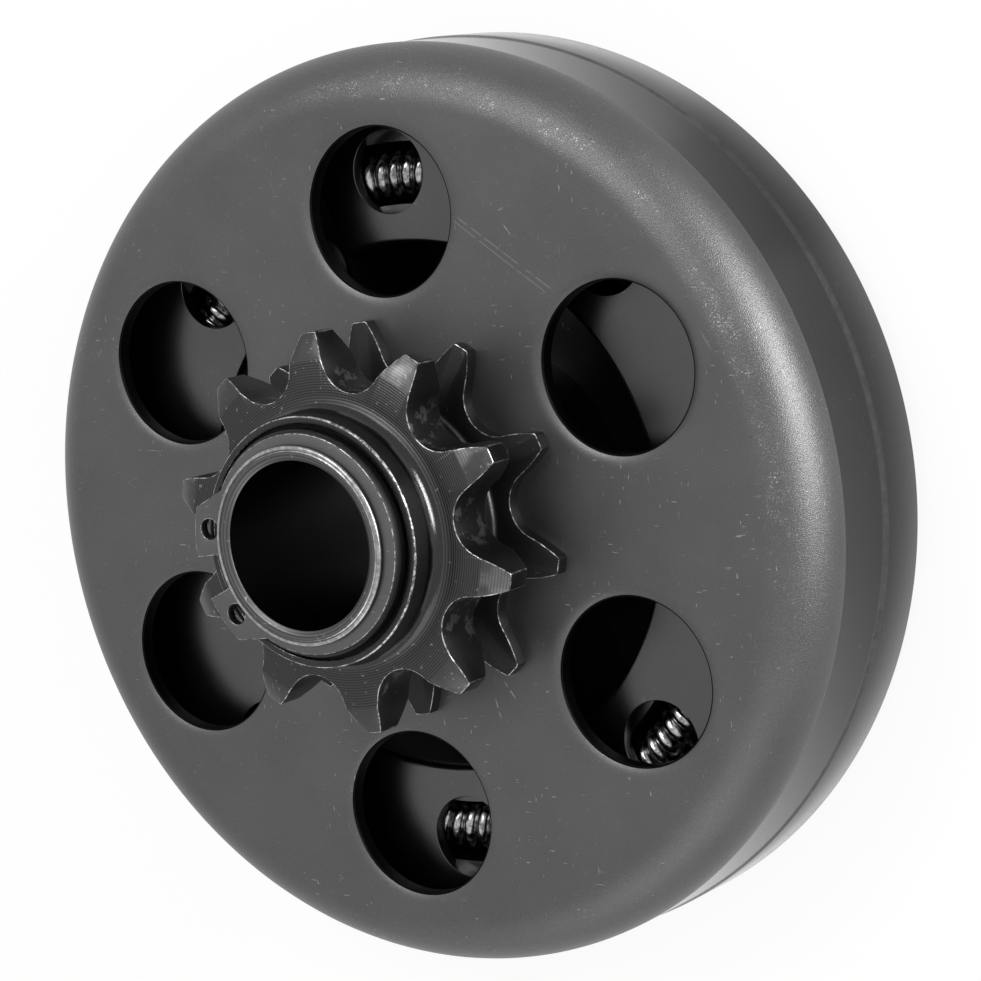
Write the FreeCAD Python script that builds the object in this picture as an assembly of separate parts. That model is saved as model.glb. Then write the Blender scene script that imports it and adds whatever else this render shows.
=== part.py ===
import FreeCAD, Part
import math
import os

# Centrifugal clutch for a small engine: a pressed drum, keyed by a star to a chain sprocket, runs free on
# the sleeve of a driver hub, and two half-ring shoes held in by a garter spring fly out to grip the drum.
# Heights are measured from the hub's rear face, which is the lowest one, and the axis is +Z.

# Driver hub: the part that the crankshaft turns
bore_radius = 9.525
sleeve_wall = 1.675
sleeve_stand = 19.65
sleeve_chamfer = 0.25
bore_lead = 0.475
hub_boss_wall = 5.8
hub_spigot_step = 2.0
hub_proud = 2.0
hub_edge = 0.6
key_width = 4.76
key_depth = 2.3
key_end = 2.0
arm_half_width = 5.0
arm_drum_gap = 5.55
gap_angle = 116.4

# Pressed drum
drum_radius = 54.05
drum_depth = 24.0
drum_wall = 2.0
drum_shoulder = 6.85
window_count = 6
window_inner_land = 1.2
window_outer_land = 2.35
band_depth = 16.1
band_step = 0.25

# Sprocket hub: one row of chain teeth, and behind it a star of the same outline through the drum's web
tooth_count = 10
chain_pitch = 12.7
roller_seat_radius = 4.02
tip_radius = 22.8
tip_half_width = 0.95
tooth_phase = 24.5
seat_half_span = 60.0
row_top = 12.8
row_bottom = 6.6
tip_drop = 1.5
tooth_bevel_radius = 19.8
star_stand = 1.65
neck_fillet = 0.6
boss_wall = 0.9
boss_top = 17.25
boss_fillet = 1.9
boss_edge = 0.3
flange_land = 1.4
flange_thickness = 1.4
flange_edge = 0.4

# Plain bearing, washers and snap ring on the sleeve
bearing_wall = 2.0
running_fit = 0.05
washer_thickness = 1.2
rear_washer_inset = 0.8
front_washer_inset = 0.5
ring_stand = 0.65
ring_thickness = 1.2
ring_groove_depth = 0.5
ring_width = 1.65
ring_offset = 0.5
ring_lug_width = 3.9
ring_lug_foot_width = 1.2
ring_lug_span = 22.8
ring_lug_taper = 12.0
ring_hole_radius = 1.2
ring_hole_inset = 1.85
ring_hole_angle = 23.4
ring_gap_angle = 197.0
ring_gap_half_angle = 9.7

# Shoes, garter spring and backing plate
shoe_width = 21.25
shoe_travel = 0.65
shoe_depth = 6.2
shoe_front_wall = 1.5
shoe_rear_land = 6.9
shoe_hole_radius = 4.85
shoe_hole_shift = 0.35
shoe_hole_count = 4
shoe_edge = 0.8
spring_radius = 3.2
spring_inset = 13.2
spring_side_gap = 0.3
spring_gap = 0.1
arm_gap = 0.3
drum_gap = 0.1
plate_thickness = 2.0
plate_gap = 0.3
plate_drum_gap = 1.3
rivet_radius_share = 0.129
rivet_head_ratio = 1.75
rivet_head_height = 1.1
rivet_place_shares = (0.24, 0.74)
cut_overrun = 1.0

# Heights and radii that follow from them
sleeve_radius = bore_radius + sleeve_wall
hub_boss_radius = sleeve_radius + hub_boss_wall
hub_spigot_radius = hub_boss_radius - hub_spigot_step
bearing_radius = sleeve_radius + running_fit + bearing_wall
boss_radius = bearing_radius + boss_wall
front_washer_radius = bearing_radius - front_washer_inset
rear_washer_radius = hub_boss_radius - rear_washer_inset
ring_inner_radius = sleeve_radius - ring_groove_depth
ring_outer_radius = ring_inner_radius + ring_width
ring_lug_reach = ring_inner_radius + ring_lug_width
ring_lug_foot = ring_inner_radius + ring_lug_foot_width
ring_hole_circle = ring_inner_radius + ring_hole_inset
web_top = hub_proud + drum_depth
web_bottom = web_top - drum_wall
sleeve_top = web_top + sleeve_stand
pitch_radius = chain_pitch / 2.0 / math.sin(math.pi / tooth_count)
wall_radius = drum_radius - band_step
drum_bore_radius = drum_radius - drum_wall
shoulder_start = wall_radius - drum_shoulder
flange_radius = tip_radius + flange_land
window_radius = (shoulder_start - window_outer_land - flange_radius - window_inner_land) / 2.0
window_circle = flange_radius + window_inner_land + window_radius
hub_rear_face = web_bottom - flange_thickness
hub_shoulder = hub_rear_face - washer_thickness - running_fit
shoe_top = web_top - shoe_depth
channel_top = shoe_top - shoe_front_wall
channel_height = 2 * (spring_radius + spring_side_gap)
channel_bottom = channel_top - channel_height
spring_height = channel_top - channel_height / 2.0
shoe_bottom = channel_bottom - shoe_rear_land
plate_top = shoe_bottom - plate_gap
plate_bottom = plate_top - plate_thickness
plate_radius = drum_bore_radius - plate_drum_gap
shoe_inner_radius = drum_bore_radius - shoe_width
spring_circle = drum_bore_radius - spring_inset
channel_inner = spring_circle - spring_radius - spring_gap
channel_outer = spring_circle + spring_radius + spring_gap + shoe_travel
saddle_floor = spring_circle - spring_radius - running_fit
arm_reach = drum_bore_radius - arm_drum_gap
arm_span = saddle_floor - hub_boss_radius
rivet_radius = rivet_radius_share * arm_span
rivet_head_radius = rivet_head_ratio * rivet_radius
rivet_circles = [hub_boss_radius + share * arm_span for share in rivet_place_shares]
ring_bottom = web_top + boss_top + ring_stand
washer_bottom = ring_bottom - washer_thickness
bearing_top = washer_bottom - running_fit
slide_angle = gap_angle - 90.0

os.makedirs("parts", exist_ok=True)


def rz(point):
    return FreeCAD.Vector(point[0], 0.0, point[1])


def polar(radius, degrees, height=0.0):
    turn = math.radians(degrees)
    return FreeCAD.Vector(radius * math.cos(turn), radius * math.sin(turn), height)


def turned(start, *steps):
    """Spin an outline of (radius, height) points round the axis; a pair of points is an arc by way of the first."""
    edges = []
    here = start
    for step in steps + (start,):
        if isinstance(step[0], tuple):
            through, there = step
            edges.append(Part.Arc(rz(here), rz(through), rz(there)).toShape())
        else:
            there = step
            edges.append(Part.LineSegment(rz(here), rz(there)).toShape())
        here = there
    outline = Part.Face(Part.Wire(edges))
    return outline.revolve(FreeCAD.Vector(0, 0, 0), FreeCAD.Vector(0, 0, 1), 360)


def on_arc(centre, radius, degrees):
    turn = math.radians(degrees)
    return (centre[0] + radius * math.cos(turn), centre[1] + radius * math.sin(turn))


def cylinder(radius, bottom, top, place=(0.0, 0.0)):
    return Part.makeCylinder(radius, top - bottom, FreeCAD.Vector(place[0], place[1], bottom))


def bore(radius, bottom, top, place=(0.0, 0.0)):
    """A cylinder to cut with, long enough to pass clear through both faces."""
    return cylinder(radius, bottom - cut_overrun, top + cut_overrun, place)


def block(x0, x1, y0, y1, z0, z1, degrees=0.0):
    """A box whose own X axis is turned by an angle about the clutch's axis."""
    solid = Part.makeBox(x1 - x0, y1 - y0, z1 - z0, FreeCAD.Vector(x0, y0, z0))
    solid.rotate(FreeCAD.Vector(0, 0, 0), FreeCAD.Vector(0, 0, 1), degrees)
    return solid


def save(shape, node):
    shape = shape.removeSplitter()
    shape.exportStep("parts/" + node + ".step")
    print(node, "valid", shape.isValid(), "solids", len(shape.Solids), "volume", round(shape.Volume))


def make_drum():
    inner_shoulder = drum_shoulder - drum_wall
    inner_centre = (drum_radius - drum_shoulder, web_top - drum_shoulder)
    shoulder_centre = (shoulder_start, web_top - drum_shoulder)
    band_height = web_top - band_depth
    cup = turned(
        (0.0, web_top),
        (shoulder_start, web_top),
        (on_arc(shoulder_centre, drum_shoulder, 45), (wall_radius, shoulder_centre[1])),
        (wall_radius, band_height),
        (drum_radius, band_height - band_step),
        (drum_radius, hub_proud),
        (drum_bore_radius, hub_proud),
        (drum_bore_radius, inner_centre[1]),
        (on_arc(inner_centre, inner_shoulder, 45), (inner_centre[0], web_bottom)),
        (0.0, web_bottom),
    )
    cup = cup.cut(toothed_disc(web_bottom - cut_overrun, web_top + cut_overrun))
    for index in range(window_count):
        middle = polar(window_circle, 90.0 + index * 360.0 / window_count)
        cup = cup.cut(bore(window_radius, web_bottom, web_top, (middle.x, middle.y)))
    return cup


def tangent_arc(start, heading, end):
    """An arc that leaves one point along a heading and ends at another."""
    chord = end - start
    swing = math.atan2(heading.x * chord.y - heading.y * chord.x, heading.dot(chord))
    bulge = chord.Length / 2.0 * math.tan(swing / 2.0)
    side = FreeCAD.Vector(chord.y, -chord.x, 0.0).normalize()
    return Part.Arc(start, start + chord * 0.5 + side * bulge, end)


def tooth_outline():
    """The chain teeth seen along the axis: a roller seat, two flanks and a tip land for each."""
    edges = []
    step = 360.0 / tooth_count
    tip_turn = math.degrees(math.asin(tip_half_width / tip_radius))
    for index in range(tooth_count):
        valley = tooth_phase + step * (index + 0.5)
        seat_centre = polar(pitch_radius, valley)
        first_seat = seat_centre + polar(roller_seat_radius, valley + 180 + seat_half_span)
        seat_foot = seat_centre + polar(roller_seat_radius, valley + 180)
        last_seat = seat_centre + polar(roller_seat_radius, valley + 180 - seat_half_span)
        first_tip = polar(tip_radius, valley - step / 2 + tip_turn)
        last_tip = polar(tip_radius, valley + step / 2 - tip_turn)
        next_tip = polar(tip_radius, valley + step / 2 + tip_turn)
        tip_middle = polar(tip_radius, valley + step / 2)
        rising = tangent_arc(last_seat, polar(1.0, valley + 90 - seat_half_span), last_tip)
        falling = tangent_arc(first_seat, polar(1.0, valley - 90 + seat_half_span), first_tip)
        edges.append(falling.toShape())
        edges.append(Part.Arc(first_seat, seat_foot, last_seat).toShape())
        edges.append(rising.toShape())
        edges.append(Part.Arc(last_tip, tip_middle, next_tip).toShape())
    return Part.Face(Part.Wire(Part.__sortEdges__(edges)))


def toothed_disc(bottom, top):
    disc = tooth_outline().extrude(FreeCAD.Vector(0, 0, top - bottom))
    disc.translate(FreeCAD.Vector(0, 0, bottom))
    return disc


def chain_row():
    """The row that carries the chain, thinned towards the tips on both faces."""
    bottom = web_top + row_bottom
    top = web_top + row_top
    reach = tip_radius + cut_overrun
    fall = tip_drop * (reach - tooth_bevel_radius) / (tip_radius - tooth_bevel_radius)
    blank = turned(
        (0.0, bottom),
        (tooth_bevel_radius, bottom),
        (reach, bottom + fall),
        (reach, top - fall),
        (tooth_bevel_radius, top),
        (0.0, top),
    )
    return toothed_disc(bottom, top).common(blank)


def make_sprocket_hub():
    row_face = web_top + row_top
    star_face = web_top + star_stand
    boss_foot = (boss_radius + boss_fillet, row_face + boss_fillet)
    neck_foot = (boss_radius + neck_fillet, star_face + neck_fillet)
    body = turned(
        (0.0, hub_rear_face),
        (flange_radius - flange_edge, hub_rear_face),
        (flange_radius, hub_rear_face + flange_edge),
        (flange_radius, web_bottom),
        (boss_radius, web_bottom),
        (boss_radius, star_face),
        (neck_foot[0], star_face),
        (on_arc(neck_foot, neck_fillet, 225), (boss_radius, neck_foot[1])),
        (boss_radius, row_face),
        (boss_foot[0], row_face),
        (on_arc(boss_foot, boss_fillet, 225), (boss_radius, boss_foot[1])),
        (boss_radius, web_top + boss_top - boss_edge),
        (boss_radius - boss_edge, web_top + boss_top),
        (0.0, web_top + boss_top),
    )
    whole = body.fuse([chain_row(), toothed_disc(web_bottom, star_face)])
    return whole.cut(bore(bearing_radius, hub_rear_face, web_top + boss_top))


def make_bushing():
    tube = cylinder(bearing_radius, hub_rear_face, bearing_top)
    return tube.cut(bore(sleeve_radius + running_fit, hub_rear_face, bearing_top))


def washer(outer_radius, bottom, top):
    disc = cylinder(outer_radius, bottom, top)
    return disc.cut(bore(sleeve_radius + running_fit, bottom, top))


def make_driver_hub():
    """Sleeve, boss, two arms with saddles for the spring, and the spigot that carries the plate."""
    groove_low = ring_bottom
    groove_high = ring_bottom + ring_thickness + running_fit
    hub = turned(
        (bore_radius + sleeve_chamfer, 0.0),
        (hub_spigot_radius - hub_edge, 0.0),
        (hub_spigot_radius, hub_edge),
        (hub_spigot_radius, plate_top),
        (hub_boss_radius, plate_top),
        (hub_boss_radius, hub_shoulder),
        (sleeve_radius, hub_shoulder),
        (sleeve_radius, groove_low),
        (ring_inner_radius, groove_low),
        (ring_inner_radius, groove_high),
        (sleeve_radius, groove_high),
        (sleeve_radius, sleeve_top - sleeve_chamfer),
        (sleeve_radius - sleeve_chamfer, sleeve_top),
        (bore_radius + bore_lead, sleeve_top),
        (bore_radius, sleeve_top - sleeve_chamfer),
        (bore_radius, sleeve_chamfer),
    )
    arms = block(-arm_reach, arm_reach, -arm_half_width, arm_half_width, plate_top, shoe_top, gap_angle)
    arms = arms.common(cylinder(arm_reach, plate_top, shoe_top))
    saddle = turned(
        (saddle_floor, channel_bottom),
        (arm_reach + cut_overrun, channel_bottom),
        (arm_reach + cut_overrun, channel_top),
        (saddle_floor, channel_top),
    )
    arms = arms.cut(saddle)
    arms = arms.cut(bore(bore_radius + sleeve_chamfer, plate_top, shoe_top))
    for place in rivet_places():
        arms = arms.cut(bore(rivet_radius, plate_top, shoe_top, place))
    hub = hub.fuse(arms)
    half_key = key_width / 2
    keyway = block(0.0, bore_radius + key_depth, -half_key, half_key, -cut_overrun, hub_shoulder - key_end, 90.0)
    return hub.cut(keyway)


def rivet_places():
    places = []
    for side in (0.0, 180.0):
        for circle in rivet_circles:
            middle = polar(circle, gap_angle + side)
            places.append((middle.x, middle.y))
    return places


def make_rivet(place):
    """A pin through arm and plate, headed on both sides with a shallow dome."""
    pin = cylinder(rivet_radius, plate_bottom, shoe_top, place)
    dome_radius = (rivet_head_radius ** 2 + rivet_head_height ** 2) / (2 * rivet_head_height)
    for flat, side in ((plate_bottom, -1.0), (shoe_top, 1.0)):
        ball_height = flat - side * (dome_radius - rivet_head_height)
        ball = Part.makeSphere(dome_radius, FreeCAD.Vector(place[0], place[1], ball_height))
        low, high = sorted((flat, flat + side * rivet_head_height))
        pin = pin.fuse(ball.common(cylinder(rivet_head_radius, low, high, place)))
    return pin


def make_backing_plate():
    plate = cylinder(plate_radius, plate_bottom, plate_top)
    plate = plate.cut(bore(hub_spigot_radius, plate_bottom, plate_top))
    for place in rivet_places():
        plate = plate.cut(bore(rivet_radius, plate_bottom, plate_top, place))
    return plate


def make_shoe(side):
    """Half a ring, ground to the drum's bore, so its outer arcs are centred one travel behind the axis.

    The spring lies in a channel inside it, and round pockets in the front face open on to the spring.
    """
    reach = drum_bore_radius - drum_gap
    outward = slide_angle + side
    back = polar(shoe_travel, outward + 180.0)
    ring = turned(
        (0.0, shoe_bottom),
        (reach - shoe_edge, shoe_bottom),
        (reach, shoe_bottom + shoe_edge),
        (reach, shoe_top - shoe_edge),
        (reach - shoe_edge, shoe_top),
        (0.0, shoe_top),
    )
    channel = turned(
        (channel_inner, channel_bottom),
        (channel_outer, channel_bottom),
        (channel_outer, channel_top),
        (channel_inner, channel_top),
    )
    ring = ring.cut(channel)
    ring.translate(back)
    flare = shoe_edge + cut_overrun
    eye = turned(
        (0.0, shoe_bottom - cut_overrun),
        (shoe_inner_radius + flare, shoe_bottom - cut_overrun),
        (shoe_inner_radius, shoe_bottom + shoe_edge),
        (shoe_inner_radius, shoe_top - shoe_edge),
        (shoe_inner_radius + flare, shoe_top + cut_overrun),
        (0.0, shoe_top + cut_overrun),
    )
    half = block(arm_half_width + arm_gap, drum_radius, -drum_radius, drum_radius, shoe_bottom, shoe_top, outward)
    shoe = ring.cut(eye).common(half)
    pitch = 180.0 / shoe_hole_count
    for index in range(shoe_hole_count):
        middle = polar(spring_circle + shoe_hole_shift, outward - 90.0 + pitch * (index + 0.5))
        shoe = shoe.cut(cylinder(shoe_hole_radius, channel_top, shoe_top + cut_overrun, (middle.x, middle.y)))
    return shoe


def make_garter_spring():
    return Part.makeTorus(spring_circle, spring_radius, FreeCAD.Vector(0, 0, spring_height))


def outline_plate(edges, thickness):
    outline = Part.Face(Part.Wire([edge.toShape() for edge in edges]))
    return outline.extrude(FreeCAD.Vector(0, 0, thickness))


def ring_lug(side):
    """One end of the snap ring, from the gap's side round to where it slants down into the ring."""
    first = ring_gap_half_angle
    last = first + ring_lug_span
    centre = FreeCAD.Vector(0, 0, ring_bottom)
    near = polar(ring_lug_reach, ring_gap_angle + side * first, ring_bottom)
    middle = polar(ring_lug_reach, ring_gap_angle + side * (first + last) / 2.0, ring_bottom)
    far = polar(ring_lug_reach, ring_gap_angle + side * last, ring_bottom)
    foot = polar(ring_lug_foot, ring_gap_angle + side * (last + ring_lug_taper), ring_bottom)
    lines = [Part.LineSegment(far, foot), Part.LineSegment(foot, centre), Part.LineSegment(centre, near)]
    return outline_plate([Part.Arc(near, middle, far)] + lines, ring_thickness)


def make_snap_ring():
    """An open ring, thickest opposite its gap, with two lugs pierced for the pliers."""
    ring_top = ring_bottom + ring_thickness
    thick_side = polar(ring_offset, ring_gap_angle + 180)
    ring = cylinder(ring_outer_radius, ring_bottom, ring_top, (thick_side.x, thick_side.y))
    for side in (-1.0, 1.0):
        ring = ring.fuse(ring_lug(side))
    centre = FreeCAD.Vector(0, 0, ring_bottom)
    gap_side = polar(2 * ring_lug_reach, ring_gap_angle - ring_gap_half_angle, ring_bottom)
    other_side = polar(2 * ring_lug_reach, ring_gap_angle + ring_gap_half_angle, ring_bottom)
    corners = [(centre, gap_side), (gap_side, other_side), (other_side, centre)]
    ring = ring.cut(outline_plate([Part.LineSegment(*pair) for pair in corners], ring_thickness))
    ring = ring.cut(bore(ring_inner_radius, ring_bottom, ring_top))
    for side in (-1.0, 1.0):
        middle = polar(ring_hole_circle, ring_gap_angle + side * ring_hole_angle)
        ring = ring.cut(bore(ring_hole_radius, ring_bottom, ring_top, (middle.x, middle.y)))
    return ring


save(make_drum(), "drum")
save(make_sprocket_hub(), "sprocket_hub")
save(make_bushing(), "bushing")
save(make_driver_hub(), "driver_hub")
save(make_backing_plate(), "backing_plate")
save(washer(front_washer_radius, washer_bottom, ring_bottom), "front_washer")
save(washer(rear_washer_radius, hub_shoulder, hub_rear_face - running_fit), "rear_washer")
save(make_snap_ring(), "snap_ring")
save(make_shoe(0.0), "shoe_right")
save(make_shoe(180.0), "shoe_left")
save(make_garter_spring(), "garter_spring")
for number, spot in enumerate(rivet_places(), start=1):
    save(make_rivet(spot), "plate_rivet_%d" % number)
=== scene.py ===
import bisect
import math

import bmesh
import bpy
from mathutils import Matrix, Vector


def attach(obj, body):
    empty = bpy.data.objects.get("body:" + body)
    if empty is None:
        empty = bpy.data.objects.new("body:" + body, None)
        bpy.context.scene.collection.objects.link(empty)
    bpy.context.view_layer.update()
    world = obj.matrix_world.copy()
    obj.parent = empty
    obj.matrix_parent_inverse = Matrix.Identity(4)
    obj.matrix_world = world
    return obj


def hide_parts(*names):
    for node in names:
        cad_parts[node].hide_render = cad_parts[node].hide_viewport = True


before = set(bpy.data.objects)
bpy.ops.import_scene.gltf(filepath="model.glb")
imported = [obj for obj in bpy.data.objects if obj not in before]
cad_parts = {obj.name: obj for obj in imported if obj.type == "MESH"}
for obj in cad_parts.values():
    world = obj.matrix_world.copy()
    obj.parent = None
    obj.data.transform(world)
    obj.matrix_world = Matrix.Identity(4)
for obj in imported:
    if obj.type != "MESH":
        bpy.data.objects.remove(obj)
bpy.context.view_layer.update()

# Sizes are in millimetres and angles in degrees. Heights are above the hub's rear face, and the clutch's
# axis stands upright at the origin.
MM = 0.001

# Meshing: how near points are joined, how level a rim is when it is filled, a step too small to see, the
# steps of a full turn, and the usual rounded edges
MERGE = 0.0005
LEVEL = 0.001
TINY = 0.01
SMOOTH_ANGLE = 32
TOOTH_STEPS = 720
TURN_STEPS = 360
SMALL_STEPS = 180
FINE_EDGE = 0.2
PLAIN_EDGE = 0.4

# Pressed drum
WEB_TOP = 26.0
WEB_BOTTOM = 24.0
RIM_HEIGHT = 2.0
DRUM_RADIUS = 54.05
DRUM_WALL = 2.0
BAND_STEP = 0.25
BAND_HEIGHT = 9.9
BAND_SLOPE = ((0, 0.3), (0.04, 0.1), (BAND_STEP - 0.04, -0.2), (BAND_STEP, -0.4))
SHOULDER = 6.85
WINDOW_COUNT = 6
WINDOW_RADIUS = 9.6
WINDOW_CIRCLE = 35.0
WINDOW_STEPS = 120
LIP_WIDTH = 1.8
LIP_DROP = 0.38
LIP_SHARES = (0, 0.25, 0.45, 0.6, 0.75, 0.88)
LIP_ROUND = 0.1
LIP_ROUND_DROP = 0.06

# Sprocket hub: the chain row, the star behind it and the boss in front
TOOTH_COUNT = 10
PITCH_RADIUS = 20.55
SEAT_RADIUS = 4.02
SEAT_HALF_SPAN = 60.0
SEAT_STEPS = 12
FLANK_STEPS = 8
TIP_RADIUS = 22.8
TIP_HALF_WIDTH = 0.95
TOOTH_PHASE = 24.5
TOOTH_BLANK = 2 * TIP_RADIUS
TOOTH_EDGE = 0.09
ROW_TOP = 38.8
ROW_BOTTOM = 32.6
TIP_DROP = 1.5
BEVEL_RADIUS = 19.8
STAR_TOP = 27.65
FLANGE_RADIUS = 24.2
FLANGE_BOTTOM = 22.6
BOSS_RADIUS = 14.15
BOSS_TOP = 43.25
BOSS_FILLET = 1.9
BOSS_EDGE = 0.3
NECK_FILLET = 0.6
BEARING_RADIUS = 13.25

# Driver hub, and the washers on its sleeve
BORE_RADIUS = 9.525
SLEEVE_RADIUS = 11.2
SLEEVE_TOP = 45.65
SLEEVE_EDGE = 0.25
END_GROOVE = (10.54, 10.68, 10.76, 10.8)
END_GROOVE_DEPTH = 0.1
END_BAND = 0.4
END_MOUTH = ((10.1, 0), (10.0, 0.03), (9.7, 0.16), (BORE_RADIUS, 0.35))
RUNNING_FIT = 0.05
HUB_BOSS_RADIUS = 17.0
HUB_SPIGOT_RADIUS = 15.0
HUB_SHOULDER = 21.35
HUB_EDGE = 0.6
KEY_HALF_WIDTH = 2.38
KEY_DEPTH = 2.3
KEY_TOP = 19.35
ARM_HALF_WIDTH = 5.0
ARM_REACH = 46.5
ARM_SLICES = 8
GAP_ANGLE = 116.4
WASHER = 1.2
FRONT_WASHER_RADIUS = 12.75
REAR_WASHER_RADIUS = 16.2

# Snap ring
RING_BOTTOM = 43.9
RING_TOP = 45.1
RING_INNER = 10.7
RING_OUTER = 12.35
RING_OFFSET = 0.5
RING_GAP_ANGLE = 197.0
RING_GAP_HALF = 9.7
RING_STEPS = 120
RING_EDGE = 0.07
LUG_SPAN = 22.8
LUG_TAPER = 12.0
LUG_REACH = 14.6
LUG_STEPS = 12
PLIER_HOLE = 1.2
PLIER_CIRCLE = 12.55
PLIER_ANGLE = 23.4

# Backing plate, shoes, garter spring and rivets
PLATE_TOP = 4.1
PLATE_BOTTOM = 2.1
PLATE_RADIUS = 50.75
SHOE_BOTTOM = 4.4
SHOE_TOP = 19.8
CHANNEL_BOTTOM = 11.3
CHANNEL_TOP = 18.3
CHANNEL_INNER = 35.55
CHANNEL_OUTER = 42.8
SHOE_INNER = 30.8
SHOE_OUTER = 51.95
SHOE_TRAVEL = 0.65
SHOE_END = 5.3
SHOE_EDGE = 0.8
SHOE_HOLE = 4.85
SHOE_HOLE_EDGE = 0.05
SHOE_HOLE_CIRCLE = 39.2
SHOE_HOLES = 4
HOLE_STEPS = 64
PLY_SEAM = 0.03
SLIDE_ANGLE = GAP_ANGLE - 90.0
SPRING_CIRCLE = 38.85
SPRING_RADIUS = 3.2
SPRING_HEIGHT = 14.8
WIRE_RADIUS = 0.92
COIL_STEPS = 20
RIVET_CIRCLES = (21.46, 30.76)
RIVET_SHANK = 2.4
RIVET_HEAD = 4.2
RIVET_LAND = 0.1
RIVET_RISE = 1.1
RIVET_STEPS = 48

# Wear and painted glints: the circles where they lie and the directions that they face, in radians, and the
# scratches on the web, each as a start, an end and a strength
GLINT_CIRCLE = 49.2
GLINT_SIDE = 0.8
ROUGH_SHOULDER = (46.5, 49.5)
ROLLER_WEAR = (15.5, 17.8, 19.2)
RUBBED_SIDE = 0.17
SCRATCHES = [
    ((10.6, 34.3), (22.8, 26.0), 0.5),
    ((10.1, 33.9), (22.1, 25.6), 0.4),
    ((16.7, 33.5), (17.9, 31.9), 1.2),
    ((12.9, -18.3), (14.6, -20.6), 1.2),
    ((11.6, -20.3), (12.4, -23.2), 1.0),
    ((41.1, 21.7), (42.5, 19.3), 0.4),
]
SCRATCH_WIDTH = 0.11
SCRATCH_CORE = 0.03
SCRATCH_FADE = 0.8

# Floor: its grey, how far it glows to the camera and in reflections, and the dim strip that only
# reflections see, which is a painted reflection of the camera's stand
FLOOR_TONE = 0.8
FLOOR_SEEN = 0.88
FLOOR_REFLECTED = 0.95
STAND_SIDE = math.radians(46)
STAND_WIDTH = (8, 20)
STAND_TONE = 0.25
STAND_DIMMING = 0.75


class Wire:
    """A socket of one finish, so that shader maths can be written as sums."""

    def __init__(self, finish, socket):
        self.finish = finish
        self.socket = socket

    def maths(self, operation, *values):
        return self.finish.node("ShaderNodeMath", {"operation": operation}, dict(enumerate(values)))

    def __add__(self, other):
        return self.maths("ADD", self, other)

    def __sub__(self, other):
        return self.maths("SUBTRACT", self, other)

    def __rsub__(self, other):
        return self.maths("SUBTRACT", other, self)

    def __mul__(self, other):
        return self.maths("MULTIPLY", self, other)

    def __gt__(self, other):
        return self.maths("GREATER_THAN", self, other)

    def __lt__(self, other):
        return self.maths("LESS_THAN", self, other)

    def root(self):
        return self.maths("SQRT", self)

    def size(self):
        return self.maths("ABSOLUTE", self)

    def wave(self):
        return self.maths("SINE", self)

    __radd__ = __add__
    __rmul__ = __mul__


class Finish:
    """One material and the nodes that make it."""

    def __init__(self, name):
        self.material = bpy.data.materials.new(name)
        self.material.use_nodes = True
        self.tree = self.material.node_tree
        self.shader = self.tree.nodes["Principled BSDF"]
        self.place = self.node("ShaderNodeTexCoord", output="Object")

    def node(self, kind, settings=(), inputs=(), output=0):
        made = self.tree.nodes.new(kind)
        for name, value in dict(settings).items():
            setattr(made, name, value)
        for name, value in dict(inputs).items():
            self.feed(made.inputs[name], value)
        return Wire(self, made.outputs[output])

    def feed(self, socket, value):
        if isinstance(value, Wire):
            self.tree.links.new(value.socket, socket)
        else:
            socket.default_value = value

    def surface(self, **values):
        for name, value in values.items():
            self.feed(self.shader.inputs[name.replace("_", " ")], value)
        return self.material

    def mapped(self, stretch, turn):
        inputs = {"Vector": self.place, "Scale": stretch, "Rotation": turn}
        return self.node("ShaderNodeMapping", {}, inputs)

    def noise(self, scale, detail, roughness, where=None):
        inputs = {"Vector": where or self.place, "Scale": scale, "Detail": detail, "Roughness": roughness}
        return self.node("ShaderNodeTexNoise", {}, inputs)

    def step(self, value, start, end):
        """0 up to the start, 1 beyond the end, and smooth between, whichever of the two is larger."""
        inputs = {"Value": value, "From Min": start, "From Max": end}
        return self.node("ShaderNodeMapRange", {"interpolation_type": "SMOOTHSTEP"}, inputs)

    def axes(self):
        split = self.node("ShaderNodeSeparateXYZ", {}, {"Vector": self.place})
        return [Wire(self, socket) for socket in split.socket.node.outputs]

    def radius(self):
        across, along, _ = self.axes()
        return (across * across + along * along).root()

    def towards(self, turn):
        """How far a point lies out along a direction of the web, given in radians."""
        across, along, _ = self.axes()
        return across * math.cos(turn) + along * math.sin(turn)

    def grey(self, value):
        return self.node("ShaderNodeCombineColor", {}, {"Red": value, "Green": value, "Blue": value})

    def bump(self, height, distance, strength=1.0):
        inputs = {"Height": height, "Distance": distance, "Strength": strength}
        return self.node("ShaderNodeBump", {}, inputs)


def polar(radius, degrees, height=0.0):
    turn = math.radians(degrees)
    return Vector((radius * math.cos(turn), radius * math.sin(turn), height))


def arc(centre, radius, first, last, steps):
    """Points of a profile along an arc, as (radius, height) pairs."""
    turns = [math.radians(first + (last - first) * count / steps) for count in range(steps + 1)]
    return [(centre[0] + radius * math.cos(turn), centre[1] + radius * math.sin(turn)) for turn in turns]


def spun(bm, profile, steps, centre=(0, 0, 0)):
    """Spin a profile of (radius, height) pairs once round an upright line."""
    verts = [bm.verts.new(Vector(centre) + polar(radius, 0, height)) for radius, height in profile]
    edges = [bm.edges.new(pair) for pair in zip(verts, verts[1:])]
    bmesh.ops.spin(bm, geom=verts + edges, cent=centre, axis=(0, 0, 1), angle=math.tau, steps=steps,
                   use_merge=True)


def joined(bm):
    bmesh.ops.remove_doubles(bm, verts=bm.verts, dist=MERGE)


def filled(bm, height):
    """Close the open edges that lie at one height with a flat face."""
    rims = [edge for edge in bm.edges if len(edge.link_faces) < 2
            and all(abs(vert.co.z - height) < LEVEL for vert in edge.verts)]
    bmesh.ops.triangle_fill(bm, use_beauty=True, edges=rims, normal=(0, 0, 1))


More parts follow.
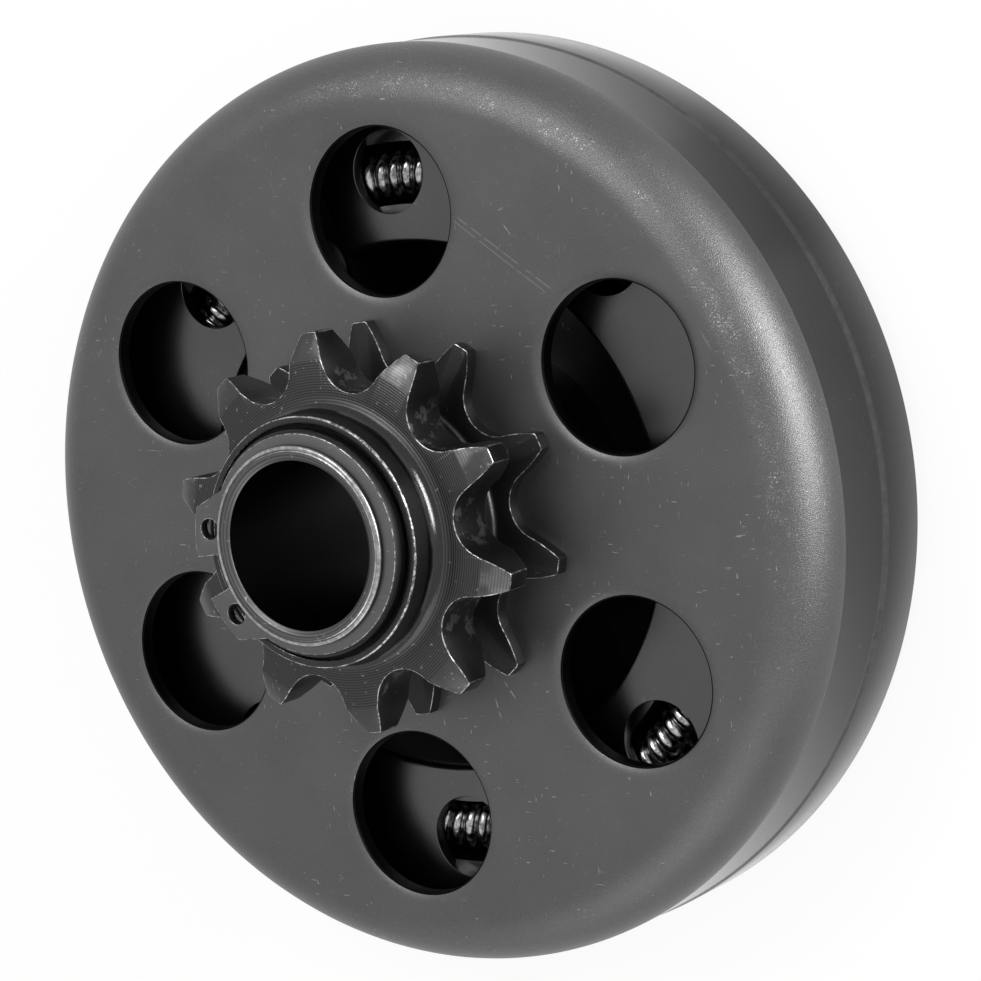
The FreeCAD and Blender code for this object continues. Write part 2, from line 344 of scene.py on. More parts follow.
def of_kind(parts, kind):
    return [part for part in parts if isinstance(part, kind)]


def thickened(bm, rise):
    grown = bmesh.ops.extrude_face_region(bm, geom=bm.faces[:])["geom"]
    bmesh.ops.translate(bm, vec=(0, 0, rise), verts=of_kind(grown, bmesh.types.BMVert))


def rounded(bm, edges, width, finish):
    """Break sharp edges, and give the new faces a finish of their own."""
    bevelled = bmesh.ops.bevel(bm, geom=edges, offset=width, offset_type="OFFSET", segments=2, profile=0.5,
                               affect="EDGES", material=-1, clamp_overlap=True)
    for face in bevelled["faces"]:
        face.material_index = finish


def sharp_edges(bm, degrees):
    limit = math.radians(degrees)
    return [edge for edge in bm.edges if edge.is_manifold and edge.calc_face_angle(0.0) > limit]


def finished(bm, name, body, nodes, finishes):
    """Turn the shape into an object that rides on a body and stands for CAD nodes."""
    joined(bm)
    bmesh.ops.recalc_face_normals(bm, faces=bm.faces)
    bmesh.ops.scale(bm, vec=(MM, MM, MM), verts=bm.verts)
    mesh = bpy.data.meshes.new(name)
    bm.to_mesh(mesh)
    bm.free()
    return placed(mesh, name, body, nodes, finishes)


def placed(mesh, name, body, nodes, finishes):
    mesh.shade_smooth()
    mesh.set_sharp_from_angle(angle=math.radians(SMOOTH_ANGLE))
    for finish in finishes:
        mesh.materials.append(finish)
    piece = bpy.data.objects.new(name, mesh)
    bpy.context.scene.collection.objects.link(piece)
    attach(piece, body)
    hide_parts(*nodes)
    return piece


def half_gap():
    """The outline from the middle of a tooth gap to the tooth's middle, as (degrees, radius) pairs."""
    points = []
    for count in range(SEAT_STEPS + 1):
        turn = math.radians(SEAT_HALF_SPAN * count / SEAT_STEPS)
        points.append(Vector((PITCH_RADIUS - SEAT_RADIUS * math.cos(turn), SEAT_RADIUS * math.sin(turn))))
    foot = points[-1].copy()
    half_pitch = 180.0 / TOOTH_COUNT
    tip = polar(TIP_RADIUS, half_pitch - math.degrees(math.asin(TIP_HALF_WIDTH / TIP_RADIUS))).to_2d()
    heading = math.radians(90.0 - SEAT_HALF_SPAN)
    chord = tip - foot
    swing = math.atan2(chord.y, chord.x) - heading
    for count in range(1, FLANK_STEPS + 1):
        bend = swing * count / FLANK_STEPS
        length = chord.length * math.sin(bend) / math.sin(swing)
        points.append(foot + length * Vector((math.cos(heading + bend), math.sin(heading + bend))))
    outline = [(math.degrees(math.atan2(point.y, point.x)), point.length) for point in points]
    return outline + [(half_pitch, TIP_RADIUS)]


def tooth_reach(outline, degrees):
    """The radius of the toothed outline in one direction, read off between its points."""
    pitch = 360.0 / TOOTH_COUNT
    offset = abs((degrees - TOOTH_PHASE) % pitch - pitch / 2)
    after = min(bisect.bisect_left([turn for turn, _ in outline], offset), len(outline) - 1)
    before = max(after - 1, 0)
    first, last = outline[before], outline[after]
    share = 0.0 if first == last else (offset - first[0]) / (last[0] - first[0])
    return first[1] + (last[1] - first[1]) * share


def draw_in_teeth(bm):
    """Pull the outer edges of full rings in to the outline of the teeth, and bevel the chain row's tips."""
    outline = half_gap()
    for vert in bm.verts:
        radius = vert.co.xy.length
        height = vert.co.z
        if radius < BEVEL_RADIUS - TINY or height < WEB_BOTTOM:
            continue
        degrees = math.degrees(math.atan2(vert.co.y, vert.co.x))
        reach = min(radius, tooth_reach(outline, degrees))
        fall = TIP_DROP * max(0.0, reach - BEVEL_RADIUS) / (TIP_RADIUS - BEVEL_RADIUS)
        if height > ROW_TOP - TINY:
            height -= fall
        elif height > ROW_BOTTOM - TINY:
            height += fall
        vert.co = polar(reach, degrees, height)


def make_drum(finishes):
    """A spun cup, with the toothed hole and the windows drawn first and the web filled in round them."""
    wall, window_shade = 1, 2
    bm = bmesh.new()
    spun(bm, [(TOOTH_BLANK, WEB_TOP), (TOOTH_BLANK, WEB_BOTTOM)], TOOTH_STEPS)
    draw_in_teeth(bm)
    wall_radius = DRUM_RADIUS - BAND_STEP
    inner_radius = DRUM_RADIUS - DRUM_WALL
    shoulder_height = WEB_TOP - SHOULDER
    profile = arc((wall_radius - SHOULDER, shoulder_height), SHOULDER, 90, 0, 18)
    profile += [(wall_radius + out, BAND_HEIGHT + rise) for out, rise in BAND_SLOPE]
    profile += arc((DRUM_RADIUS - PLAIN_EDGE, RIM_HEIGHT + PLAIN_EDGE), PLAIN_EDGE, 0, -90, 4)
    profile += arc((inner_radius + PLAIN_EDGE, RIM_HEIGHT + PLAIN_EDGE), PLAIN_EDGE, -90, -180, 4)
    profile += arc((DRUM_RADIUS - SHOULDER, shoulder_height), SHOULDER - DRUM_WALL, 0, 90, 10)
    spun(bm, profile, TURN_STEPS)
    lip = [(WINDOW_RADIUS + LIP_WIDTH * (1 - share), WEB_TOP - LIP_DROP * share ** 3) for share in LIP_SHARES]
    lip += arc((WINDOW_RADIUS + LIP_ROUND, WEB_TOP - LIP_DROP - LIP_ROUND_DROP), LIP_ROUND, 55, 180, 5)
    lip += [(WINDOW_RADIUS, WEB_BOTTOM)]
    for count in range(WINDOW_COUNT):
        spun(bm, lip, WINDOW_STEPS, polar(WINDOW_CIRCLE, 90 + count * 360 / WINDOW_COUNT))
    joined(bm)
    filled(bm, WEB_TOP)
    filled(bm, WEB_BOTTOM)
    web_radius = DRUM_RADIUS - SHOULDER - 1
    for face in bm.faces:
        spot = face.calc_center_median()
        if spot.z < shoulder_height:
            face.material_index = wall
        # The walls of the windows take the near-black finish, which is painted shade in the openings
        elif WEB_BOTTOM + 0.1 < spot.z < WEB_TOP - 0.3 and spot.xy.length < web_radius:
            face.material_index = window_shade
    return finished(bm, "pressed_drum", "drum_body", ["drum"], finishes)


def make_sprocket(finishes):
    """The hub is spun with its teeth as full rings, whose outer edges are then drawn in to the outline."""
    worn, row_face, fillet, shaded_star = 1, 2, 3, 4
    bm = bmesh.new()
    boss_foot = (BOSS_RADIUS + BOSS_FILLET, ROW_TOP + BOSS_FILLET)
    neck_foot = (BOSS_RADIUS + NECK_FILLET, STAR_TOP + NECK_FILLET)
    profile = [(BEARING_RADIUS, FLANGE_BOTTOM), (FLANGE_RADIUS - PLAIN_EDGE, FLANGE_BOTTOM)]
    profile += [(FLANGE_RADIUS, FLANGE_BOTTOM + PLAIN_EDGE), (FLANGE_RADIUS, WEB_BOTTOM - TINY)]
    profile += [(TOOTH_BLANK, WEB_BOTTOM), (TOOTH_BLANK, STAR_TOP)]
    profile += arc(neck_foot, NECK_FILLET, 270, 180, 5)
    profile += [(BOSS_RADIUS, ROW_BOTTOM), (BEVEL_RADIUS, ROW_BOTTOM), (TOOTH_BLANK, ROW_BOTTOM)]
    profile += [(TOOTH_BLANK, ROW_TOP), (BEVEL_RADIUS, ROW_TOP)]
    profile += arc(boss_foot, BOSS_FILLET, 270, 180, 8)
    profile += arc((BOSS_RADIUS - BOSS_EDGE, BOSS_TOP - BOSS_EDGE), BOSS_EDGE, 0, 90, 3)
    profile += arc((BEARING_RADIUS + FINE_EDGE, BOSS_TOP - FINE_EDGE), FINE_EDGE, 90, 180, 3)
    profile += [(BEARING_RADIUS, FLANGE_BOTTOM)]
    spun(bm, profile, TOOTH_STEPS)
    draw_in_teeth(bm)
    joined(bm)
    bmesh.ops.recalc_face_normals(bm, faces=bm.faces)
    edges = [edge for edge in sharp_edges(bm, 38)
             if min(vert.co.xy.length for vert in edge.verts) > BOSS_RADIUS + 2
             and min(vert.co.z for vert in edge.verts) > WEB_TOP + 0.5]
    rounded(bm, edges, TOOTH_EDGE, worn)
    for face in bm.faces:
        if face.material_index == worn:
            continue
        spot = face.calc_center_median()
        reach = spot.xy.length
        faces_up = face.normal.z > 0.8
        if spot.z > BOSS_TOP - BOSS_EDGE and face.normal.z < 0.9:
            face.material_index = worn
        elif spot.z > ROW_TOP - TIP_DROP and faces_up and reach > BOSS_RADIUS + 1:
            face.material_index = row_face
        elif ROW_TOP < spot.z < ROW_TOP + BOSS_FILLET and reach > BOSS_RADIUS:
            face.material_index = fillet
        # The star's face takes the darker oxide, which is painted shade under the chain row
        elif STAR_TOP - 0.05 < spot.z < ROW_BOTTOM and faces_up:
            face.material_index = shaded_star
    return finished(bm, "sprocket_and_star", "drum_body", ["sprocket_hub"], finishes)


def tube(bm, outer, bottom, top):
    """A plain tube that runs on the sleeve."""
    inner = SLEEVE_RADIUS + RUNNING_FIT
    spun(bm, [(inner, bottom), (outer, bottom), (outer, top), (inner, top), (inner, bottom)], SMALL_STEPS)


def make_bushing(finishes):
    bm = bmesh.new()
    tube(bm, BEARING_RADIUS, FLANGE_BOTTOM, RING_BOTTOM - WASHER - RUNNING_FIT)
    return finished(bm, "plain_bush", "drum_body", ["bushing"], finishes)


def make_washer(name, node, outer, bottom, finishes):
    bm = bmesh.new()
    tube(bm, outer, bottom, bottom + WASHER)
    return finished(bm, name, "driver", [node], finishes)


def make_driver_hub(finishes):
    """The sleeve and boss are spun, and the keyway is drawn out of the bore's own points."""
    ring_end, bore, rubbed = 1, 2, 3
    bm = bmesh.new()
    groove_top = RING_TOP + RUNNING_FIT
    inside, floor_inside, floor_outside, outside = END_GROOVE
    profile = arc((BORE_RADIUS + SLEEVE_EDGE, SLEEVE_EDGE), SLEEVE_EDGE, 180, 270, 3)
    profile += arc((HUB_SPIGOT_RADIUS - HUB_EDGE, HUB_EDGE), HUB_EDGE, -90, 0, 4)
    profile += [(HUB_SPIGOT_RADIUS, PLATE_TOP), (HUB_BOSS_RADIUS, PLATE_TOP), (HUB_BOSS_RADIUS, HUB_SHOULDER)]
    profile += [(SLEEVE_RADIUS, HUB_SHOULDER), (SLEEVE_RADIUS, RING_BOTTOM), (RING_INNER, RING_BOTTOM)]
    profile += [(RING_INNER, groove_top), (SLEEVE_RADIUS, groove_top)]
    profile += arc((SLEEVE_RADIUS - SLEEVE_EDGE, SLEEVE_TOP - SLEEVE_EDGE), SLEEVE_EDGE, 0, 90, 4)
    profile += [(outside, SLEEVE_TOP), (floor_outside, SLEEVE_TOP - END_GROOVE_DEPTH)]
    profile += [(floor_inside, SLEEVE_TOP - END_GROOVE_DEPTH), (inside, SLEEVE_TOP)]
    profile += [(radius, SLEEVE_TOP - depth) for radius, depth in END_MOUTH]
    profile += [(BORE_RADIUS, KEY_TOP + 2 * TINY), (BORE_RADIUS, KEY_TOP), (BORE_RADIUS, SLEEVE_EDGE)]
    spun(bm, profile, TURN_STEPS)
    for vert in bm.verts:
        if vert.co.xy.length < BORE_RADIUS + SLEEVE_EDGE + TINY and vert.co.z < KEY_TOP + TINY:
            if abs(vert.co.x) < KEY_HALF_WIDTH and vert.co.y > 0:
                vert.co.y = BORE_RADIUS + KEY_DEPTH
    joined(bm)
    for face in bm.faces:
        spot = face.calc_center_median()
        reach = spot.xy.length
        if spot.z > SLEEVE_TOP - SLEEVE_EDGE and (reach > outside or inside < reach < floor_inside):
            face.material_index = rubbed
        elif spot.z > SLEEVE_TOP - END_BAND:
            face.material_index = ring_end
        # The bore takes the near-black finish, which is painted shade down the bore
        elif reach < BORE_RADIUS + TINY:
            face.material_index = bore
    for side in (0, 180):
        add_arm(bm, GAP_ANGLE + side)
    return finished(bm, "driver_and_sleeve", "driver", ["driver_hub"], finishes)


def add_arm(bm, degrees):
    """An arm is its side's outline drawn across, with the saddle's floor and the end turned to the axis."""
    root = HUB_SPIGOT_RADIUS
    saddle = SPRING_CIRCLE - SPRING_RADIUS - RUNNING_FIT
    outline = [(root, PLATE_TOP), (ARM_REACH, PLATE_TOP), (ARM_REACH, CHANNEL_BOTTOM)]
    outline += [(saddle, CHANNEL_BOTTOM), (saddle, CHANNEL_TOP), (ARM_REACH, CHANNEL_TOP)]
    outline += [(ARM_REACH, SHOE_TOP), (root, SHOE_TOP)]
    verts = [bm.verts.new((reach, -ARM_HALF_WIDTH, height)) for reach, height in outline]
    layer = [bm.faces.new(verts)]
    made = set(verts)
    for count in range(ARM_SLICES):
        grown = bmesh.ops.extrude_face_region(bm, geom=layer)["geom"]
        if count:
            bmesh.ops.delete(bm, geom=layer, context="FACES_ONLY")
        layer = of_kind(grown, bmesh.types.BMFace)
        fresh = of_kind(grown, bmesh.types.BMVert)
        bmesh.ops.translate(bm, vec=(0, 2 * ARM_HALF_WIDTH / ARM_SLICES, 0), verts=fresh)
        made.update(fresh)
    for vert in made:
        if vert.co.x > root + 1:
            vert.co.x = math.sqrt(vert.co.x ** 2 - vert.co.y ** 2)
    turn = Matrix.Rotation(math.radians(degrees), 3, "Z")
    bmesh.ops.rotate(bm, cent=(0, 0, 0), matrix=turn, verts=list(made))


def make_plate(finishes):
    bm = bmesh.new()
    profile = arc((HUB_SPIGOT_RADIUS + FINE_EDGE, PLATE_BOTTOM + FINE_EDGE), FINE_EDGE, 180, 270, 2)
    profile += arc((PLATE_RADIUS - PLAIN_EDGE, PLATE_BOTTOM + PLAIN_EDGE), PLAIN_EDGE, -90, 0, 4)
    profile += arc((PLATE_RADIUS - FINE_EDGE, PLATE_TOP - FINE_EDGE), FINE_EDGE, 0, 90, 2)
    profile += [(HUB_SPIGOT_RADIUS, PLATE_TOP), profile[0]]
    spun(bm, profile, TURN_STEPS)
    return finished(bm, "rear_plate", "driver", ["backing_plate"], finishes)


def make_rivet(number, spot, finishes):
    """A shank with a shallow dome on each end, both spun from one profile."""
    bm = bmesh.new()
    ball = (RIVET_HEAD ** 2 + RIVET_RISE ** 2) / (2 * RIVET_RISE)
    slope = math.degrees(math.asin(RIVET_HEAD / ball))
    profile = arc((0, PLATE_BOTTOM - RIVET_RISE + ball), ball, -90, -90 + slope, 6)
    profile += [(RIVET_HEAD - RIVET_LAND, PLATE_BOTTOM), (RIVET_SHANK, PLATE_BOTTOM)]
    profile += [(RIVET_SHANK, SHOE_TOP), (RIVET_HEAD - RIVET_LAND, SHOE_TOP)]
    profile += arc((0, SHOE_TOP + RIVET_RISE - ball), ball, 90 - slope, 90, 6)
    spun(bm, profile, RIVET_STEPS, spot)
    return finished(bm, "rivet_%d" % number, "driver", ["plate_rivet_%d" % number], finishes)


def ring_arc(radius, first, last, steps, centre=Vector((0, 0, 0))):
    """Points on the snap ring's rear face, between two angles that are counted from its gap."""
    turns = [RING_GAP_ANGLE + first + (last - first) * count / steps for count in range(steps + 1)]
    return [centre + polar(radius, turn, RING_BOTTOM) for turn in turns]


def make_snap_ring(finishes):
    """The open ring's outline, filled round its two plier holes and given its thickness."""
    worn = 1
    bm = bmesh.new()
    first = RING_GAP_HALF
    last = first + LUG_SPAN
    foot = last + LUG_TAPER
    points = ring_arc(RING_OUTER, foot, 360 - foot, RING_STEPS, polar(RING_OFFSET, RING_GAP_ANGLE + 180))
    points += ring_arc(LUG_REACH, -last, -first, LUG_STEPS)
    points += ring_arc(RING_INNER, -first, first - 360, RING_STEPS)
    points += ring_arc(LUG_REACH, first, last, LUG_STEPS)
    verts = [bm.verts.new(point) for point in points]
    for pair in zip(verts, verts[1:] + verts[:1]):
        bm.edges.new(pair)
    for side in (-1, 1):
        hole = polar(PLIER_CIRCLE, RING_GAP_ANGLE + side * PLIER_ANGLE, RING_BOTTOM)
        bmesh.ops.create_circle(bm, segments=40, radius=PLIER_HOLE, matrix=Matrix.Translation(hole))
    filled(bm, RING_BOTTOM)
    thickened(bm, RING_TOP - RING_BOTTOM)
    bmesh.ops.recalc_face_normals(bm, faces=bm.faces)
    rounded(bm, sharp_edges(bm, 50), RING_EDGE, worn)
    return finished(bm, "retaining_ring", "driver", ["snap_ring"], finishes)


def cut_half(bm, outward, made):
    """Cut a ring across in front of the axis, keep its outward side and close the two ends."""
    across = polar(1, outward)
    parts = [part for part in bm.verts[:] + bm.edges[:] + bm.faces[:] if part not in made]
    cut = bmesh.ops.bisect_plane(bm, geom=parts, plane_co=across * SHOE_END, plane_no=across,
                                 clear_inner=True)
    rims = of_kind(cut["geom_cut"], bmesh.types.BMEdge)
    bmesh.ops.triangle_fill(bm, use_beauty=True, edges=rims, normal=across)


def make_shoe(name, node, body, side, finishes):
    """A front plate with round holes on a body with the spring's channel, both cut from whole rings."""
    bm = bmesh.new()
    outward = SLIDE_ANGLE + side
    back = polar(SHOE_TRAVEL, outward + 180)
    edge = SHOE_EDGE
    rim = arc((SHOE_OUTER - edge, SHOE_TOP - edge), edge, 0, 90, 4)
    eye = arc((SHOE_INNER + edge, SHOE_TOP - edge), edge, 180, 90, 6)
    hole = [(SHOE_HOLE + SHOE_HOLE_EDGE, SHOE_TOP), (SHOE_HOLE, SHOE_TOP - SHOE_HOLE_EDGE)]
    spun(bm, [(SHOE_OUTER - PLY_SEAM, CHANNEL_TOP)] + rim, SMALL_STEPS, back)
    spun(bm, [(SHOE_INNER + PLY_SEAM, CHANNEL_TOP)] + eye, SMALL_STEPS)
    for count in range(SHOE_HOLES):
        spot = polar(SHOE_HOLE_CIRCLE, outward - 90 + 180 / SHOE_HOLES * (count + 0.5))
        spun(bm, hole + [(SHOE_HOLE, CHANNEL_TOP)], HOLE_STEPS, spot)
    joined(bm)
    filled(bm, SHOE_TOP)
    filled(bm, CHANNEL_TOP)
    cut_half(bm, outward, set())
    front = set(bm.verts[:] + bm.edges[:] + bm.faces[:])
    rim = arc((SHOE_OUTER - edge, SHOE_BOTTOM + edge), edge, -90, 0, 4)
    eye = arc((SHOE_INNER + edge, SHOE_BOTTOM + edge), edge, 270, 180, 4)
    channel = [(CHANNEL_INNER, CHANNEL_TOP), (CHANNEL_INNER, CHANNEL_BOTTOM)]
    channel += [(CHANNEL_OUTER, CHANNEL_BOTTOM), (CHANNEL_OUTER, CHANNEL_TOP)]
    spun(bm, rim + [(SHOE_OUTER, CHANNEL_TOP)], SMALL_STEPS, back)
    spun(bm, eye + [(SHOE_INNER, CHANNEL_TOP)], SMALL_STEPS)
    spun(bm, channel, SMALL_STEPS, back)
    joined(bm)
    filled(bm, SHOE_BOTTOM)
    filled(bm, CHANNEL_TOP)
    cut_half(bm, outward, front)
    return finished(bm, name, body, [node], finishes)


def make_spring(finishes):
    """A close-wound wire whose turns go once round the clutch."""
    coil = SPRING_RADIUS - WIRE_RADIUS
    count = round(math.pi * SPRING_CIRCLE / WIRE_RADIUS) * COIL_STEPS
    curve = bpy.data.curves.new("garter_coil", "CURVE")
    curve.dimensions = "3D"
    curve.bevel_depth = WIRE_RADIUS * MM
    curve.bevel_resolution = 4
    spline = curve.splines.new("POLY")
    spline.points.add(count - 1)
    for index in range(count):
        roll = math.tau * index / COIL_STEPS
        reach = SPRING_CIRCLE + coil * math.cos(roll)
        spot = polar(reach, 360.0 * index / count, SPRING_HEIGHT + coil * math.sin(roll))
        spline.points[index].co = (*(spot * MM), 1)
    spline.use_cyclic_u = True
    wire = bpy.data.objects.new("garter_coil", curve)
    mesh = bpy.data.meshes.new_from_object(wire)
    bpy.data.objects.remove(wire)
    return placed(mesh, "garter_coil", "driver", ["garter_spring"], finishes)


def oxide(name, tone, roughness, grit=0.5, relief=0.00002, nick_light=1.2, wear=None):
    """Black oxide on steel: patchy and gritty grey, with clusters of fine light nicks where it has worn."""
    finish = Finish(name)
    cloud = finish.noise(90, 4, 0.6)
    grain = finish.noise(9000, 1, 0.5)
    cluster = finish.step(finish.noise(130, 2, 0.6), 0.52, 0.62)
    fibre = finish.noise(3600, 1, 0.5, finish.mapped((1, 0.2, 1), (0, 0, 0.6)))
    hair = finish.noise(3600, 1, 0.5, finish.mapped((0.2, 1, 1), (0, 0, 0.25)))
    nicks = (finish.step(fibre, 0.73, 0.78) + finish.step(hair, 0.73, 0.78)) * (0.2 + 0.8 * cluster)
    height = grain
    if wear:
        marks, height = wear(finish, grain)
        nicks = nicks + marks
    shade = tone * (0.85 + 0.3 * cloud) * (1.0 - grit / 2 + grit * grain) + nicks * nick_light * tone
    rough = roughness + 0.12 * (cloud - 0.5)
    bump = finish.bump(height, relief)
    return finish.surface(Base_Color=finish.grey(shade), Roughness=rough, Metallic=1.0, Normal=bump)


def drum_wear(finish, grain):
    """Worn nicks with painted glints on the shoulder's lit side, the web's few long scratches, a rougher
    shoulder.
    """
    across, along, _ = finish.axes()
    reach = finish.radius()
    # Bright specks in a band on the lit side of the shoulder: worn nicks, with painted glints
    band = finish.step((reach - GLINT_CIRCLE * MM).size(), 0.0018, 0.0004)
    side = finish.step(finish.towards(GLINT_SIDE), 0.022, 0.038)
    patch = finish.step(finish.noise(450, 3, 0.7), 0.5, 0.62)
    glint = finish.step(finish.noise(5500, 2, 0.6), 0.56, 0.66)
    marks = band * side * patch * glint * 1.6
    broken = finish.step(finish.noise(900, 2, 0.6), 0.38, 0.5)
    for first, last, strength in SCRATCHES:
        run = (Vector(last) - Vector(first)) * MM
        half = run.length / 2
        run.normalize()
        from_x = across - first[0] * MM
        from_y = along - first[1] * MM
        forward = from_x * run.x + from_y * run.y
        aside = (from_y * run.x - from_x * run.y).size()
        line = finish.step(aside, SCRATCH_WIDTH * MM, SCRATCH_CORE * MM)
        ends = finish.step((forward - half).size(), half, half - SCRATCH_FADE * MM)
        marks = marks + line * ends * broken * strength
    start, end = ROUGH_SHOULDER
    return marks, grain * (0.4 + 0.6 * finish.step(reach, start * MM, end * MM))


def hub_wear(finish, grain):
    """The chain's rollers have smeared the oxide in the valleys between the teeth."""
    inner, full, outer = ROLLER_WEAR
    reach = finish.radius()
    height = finish.axes()[2]
    valley = finish.step(reach, outer * MM, full * MM) * (reach > inner * MM)
    valley = valley * (height > ROW_BOTTOM * MM) * (height < ROW_TOP * MM)
    return valley * finish.step(finish.noise(420, 3, 0.7), 0.53, 0.62) * 1.2, grain


def wall_wear(finish, grain):
    """The oxide is rubbed thin along the edge of the wider band."""
    line = finish.step((finish.axes()[2] - BAND_HEIGHT * MM).size(), 0.0007, 0.0001)
    return line * finish.noise(600, 3, 0.7), grain


def turned_face(name, tone, pitch, rubbed, bevel):
    """A lathe's fine rings, mostly worn away and rubbed brighter outside the bevel's start."""
    finish = Finish(name)
    reach = finish.radius()
    ripple = (reach * (math.tau / pitch)).wave() * 0.5 + 0.5
    side = finish.step(finish.towards(RUBBED_SIDE), 0.001, 0.010)
    patch = finish.step(finish.noise(150, 3, 0.7), 0.45, 0.62) * side
    spots = finish.step(finish.noise(1500, 2, 0.6), 0.66, 0.74)
    outside = finish.step(reach, bevel - 0.0001, bevel + 0.0001)
    groove = ripple * (1.0 - 0.75 * outside)
    bright = outside * (0.5 * tone + rubbed * patch * (0.5 + 0.5 * ripple))
    shade = tone * (0.7 + 0.6 * groove) + bright + 0.15 * spots
    bump = finish.bump(groove, 0.00003, 0.5)
    return finish.surface(Base_Color=finish.grey(shade), Roughness=0.38, Metallic=1.0, Normal=bump)


def worn_steel(name, bright, broken):
    """Bare steel along an edge, broken by darker patches."""
    finish = Finish(name)
    patch = finish.noise(1400, 3, 0.7)
    shade = bright * (1.0 - broken + broken * finish.step(patch, 0.4, 0.62))
    bump = finish.bump(patch, 0.00003, 0.5)
    return finish.surface(Base_Color=finish.grey(shade), Roughness=0.3, Metallic=1.0, Normal=bump)


def drawn_wire(name):
    finish = Finish(name)
    streak = finish.step(finish.noise(1400, 3, 0.6), 0.35, 0.65)
    shade = finish.grey(0.16 + 0.4 * streak)
    return finish.surface(Base_Color=shade, Roughness=0.12 + 0.1 * streak, Metallic=1.0)


def gap_shade_bronze(name):
    # Bronze darkened almost to black: painted shade for the narrow gap round the snap ring where the bush
    # shows
    finish = Finish(name)
    patch = finish.noise(300, 3, 0.6)
    inputs = {"Factor": patch, 6: (0.010, 0.009, 0.008, 1), 7: (0.022, 0.020, 0.018, 1)}
    warm = finish.node("ShaderNodeMix", {"data_type": "RGBA"}, inputs, 2)
    return finish.surface(Base_Color=warm, Roughness=0.5, Metallic=1.0)


def make_floor():
    """A pale floor that keeps the clutch's shadow and otherwise reads as white, with a painted reflection of
    the camera's stand.
    """
    finish = Finish("pale_floor")
    seen = finish.node("ShaderNodeLightPath", output="Is Camera Ray")
    reflected = finish.node("ShaderNodeLightPath", output="Is Glossy Ray")
    glow = finish.node("ShaderNodeEmission", {}, {"Color": (1, 1, 1, 1), "Strength": 1.0})
    across, along, _ = finish.axes()
    # A dim strip painted into the floor's colour and glow that only reflections see: a painted reflection of
    # the camera's stand
    aside = (along * math.cos(STAND_SIDE) - across * math.sin(STAND_SIDE)).size()
    full, clear = STAND_WIDTH
    stand_reflection_shade = finish.step(aside, clear * MM, full * MM) * (along + across > 0.0)
    tone = finish.grey(FLOOR_TONE - STAND_TONE * stand_reflection_shade * reflected)
    finish.surface(Base_Color=tone, Roughness=0.9, Specular_IOR_Level=0.0)
    share = seen * FLOOR_SEEN + reflected * (FLOOR_REFLECTED - STAND_DIMMING * stand_reflection_shade)
    shader = Wire(finish, finish.shader.outputs[0])
    mixed = finish.node("ShaderNodeMixShader", {}, {0: share, 1: shader, 2: glow})
    finish.feed(finish.tree.nodes["Material Output"].inputs["Surface"], mixed)
    bm = bmesh.new()
    bmesh.ops.create_grid(bm, x_segments=1, y_segments=1, size=3.0)
    mesh = bpy.data.meshes.new("floor")
    bm.to_mesh(mesh)
    bm.free()
    mesh.materials.append(finish.material)
    floor = bpy.data.objects.new("floor", mesh)
    bpy.context.scene.collection.objects.link(floor)


def add_light(name, place, aim, width, height, power):
    light = bpy.data.lights.new(name, "AREA")
    light.shape = "RECTANGLE"
    light.size = width
    light.size_y = height
    light.energy = power
    lamp = bpy.data.objects.new(name, light)
    lamp.location = place
    lamp.rotation_euler = (Vector(aim) - Vector(place)).to_track_quat("-Z", "Y").to_euler()
    bpy.context.scene.collection.objects.link(lamp)


def light_the_clutch():
    """Three softboxes in a white studio, which the camera sees a little brighter than the clutch does."""
    world = bpy.data.worlds.new("studio")
    world.use_nodes = True
    tree = world.node_tree
    back = tree.nodes["Background"]
    path = tree.nodes.new("ShaderNodeLightPath")
    level = tree.nodes.new("ShaderNodeMapRange")
    level.inputs["To Min"].default_value = 0.8
    level.inputs["To Max"].default_value = 1.0
    tree.links.new(path.outputs["Is Camera Ray"], level.inputs["Value"])
    tree.links.new(level.outputs["Result"], back.inputs["Strength"])
    back.inputs["Color"].default_value = (1, 1, 1, 1)
    bpy.context.scene.world = world
    add_light("key_softbox", (-0.12, 0.42, 0.62), (0, 0, 0.03), 0.35, 0.35, 2.1)
    add_light("fill_softbox", (0.1, -0.62, 0.45), (0, 0, 0.02), 0.6, 0.4, 1.0)
    add_light("low_softbox", (0.73, 0.28, 0.20), (0, 0, 0.02), 0.50, 0.25, 7.5)


def set_camera():
    """The photograph's lens and place, with the clutch's axis leaning over in the picture."""
    camera = bpy.data.cameras.new("camera")
    camera.sensor_width = 36.0
    camera.lens = 120.7
    camera.clip_start = 0.01
    eye = bpy.data.objects.new("camera", camera)
    place = Vector((0.21749, 0.05866, 0.32865))
    right = Vector((0.83209, -0.06447, -0.55088))
    up = Vector((-0.02949, 0.98667, -0.16003))
    turn = Matrix((right, up, right.cross(up))).transposed()
    eye.matrix_world = Matrix.Translation(place) @ turn.to_4x4()
    bpy.context.scene.collection.objects.link(eye)
    bpy.context.scene.camera = eye


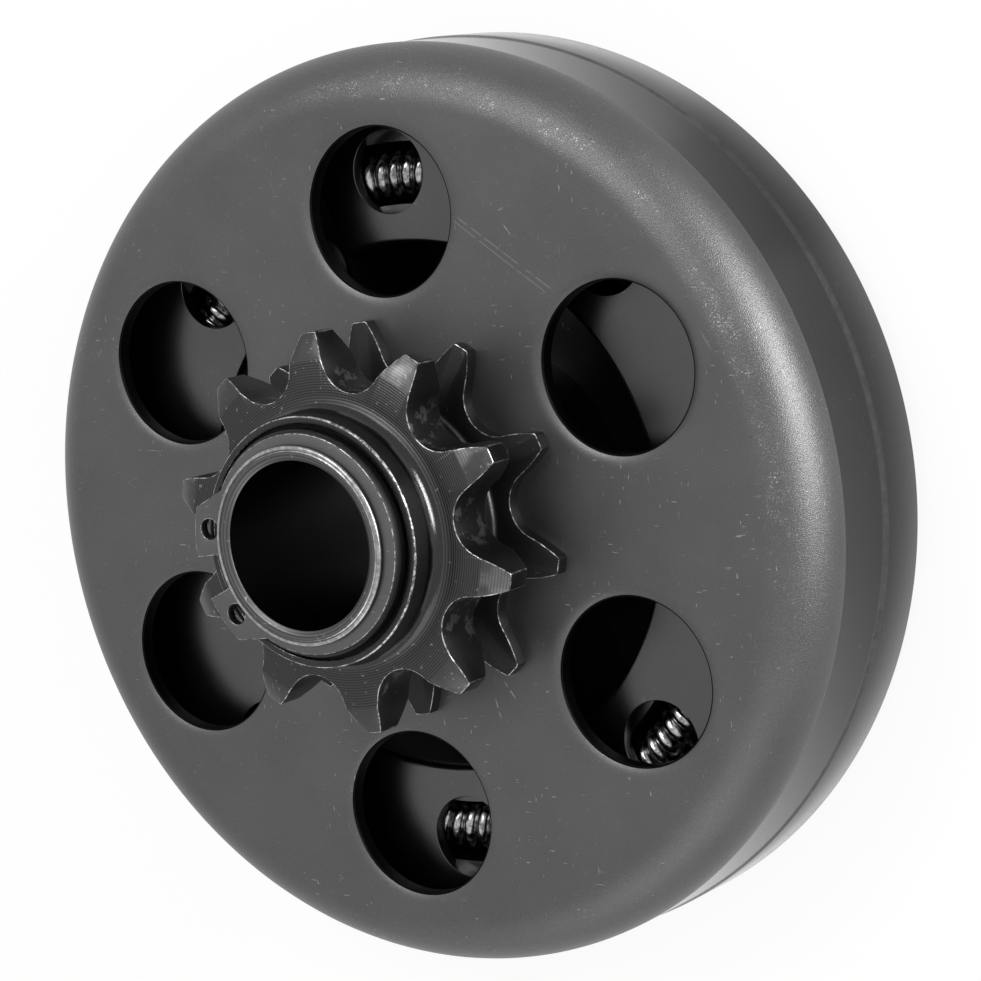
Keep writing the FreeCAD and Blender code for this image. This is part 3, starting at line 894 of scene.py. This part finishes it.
drum_black = oxide("drum_black", 0.119, 0.42, 0.7, 0.00004, 1.4, drum_wear)
wall_black = oxide("wall_black", 0.043, 0.12, 0.9, 0.00001, 2.0, wall_wear)
hub_black = oxide("hub_black", 0.05, 0.36, 0.7, 0.00002, 2.5, hub_wear)
# The star's face in a darker copy of the hub's oxide: painted shade from the chain row above it
star_shade_black = oxide("star_shade_black", 0.03, 0.45, 0.7, 0.00002, 2.5)
# Near-black steel: painted shade for the deep bore and the drum's window walls, which are the same steel as
# their neighbours
recess_shade_black = oxide("recess_shade_black", 0.007, 0.4)
shoe_black = oxide("shoe_black", 0.105, 0.24, 0.5, 0.00001, 0.8)
ring_grey = oxide("ring_grey", 0.125, 0.42, 0.7, 0.00002, 1.5)
turned_rings = turned_face("turned_rings", 0.055, 0.00030, 0.10, 0.0197)
turned_end = turned_face("turned_end", 0.10, 0.00038, 0.0, 0.02)
worn_edge = worn_steel("worn_edge", 0.6, 0.85)
rubbed_line = worn_steel("rubbed_line", 0.45, 0.4)
rubbed_fillet = oxide("rubbed_fillet", 0.05, 0.13, 0.9, 0.00001, 3.0)
spring_wire = drawn_wire("spring_wire")
bush_bronze = gap_shade_bronze("bush_bronze")

make_drum([drum_black, wall_black, recess_shade_black])
make_sprocket([hub_black, worn_edge, turned_rings, rubbed_fillet, star_shade_black])
make_bushing([bush_bronze])
make_washer("thrust_washer_front", "front_washer", FRONT_WASHER_RADIUS, RING_BOTTOM - WASHER, [hub_black])
make_washer("thrust_washer_rear", "rear_washer", REAR_WASHER_RADIUS, HUB_SHOULDER, [hub_black])
make_driver_hub([hub_black, turned_end, recess_shade_black, rubbed_line])
make_plate([hub_black])
rivet_spots = [polar(circle, GAP_ANGLE + side) for side in (0, 180) for circle in RIVET_CIRCLES]
for number, spot in enumerate(rivet_spots, start=1):
    make_rivet(number, spot, [hub_black])
make_snap_ring([ring_grey, worn_edge])
make_shoe("half_shoe_right", "shoe_right", "shoe_right_body", 0.0, [shoe_black])
make_shoe("half_shoe_left", "shoe_left", "shoe_left_body", 180.0, [shoe_black])
make_spring([spring_wire])

make_floor()
light_the_clutch()
set_camera()
bpy.context.scene.view_settings.view_transform = "Standard"
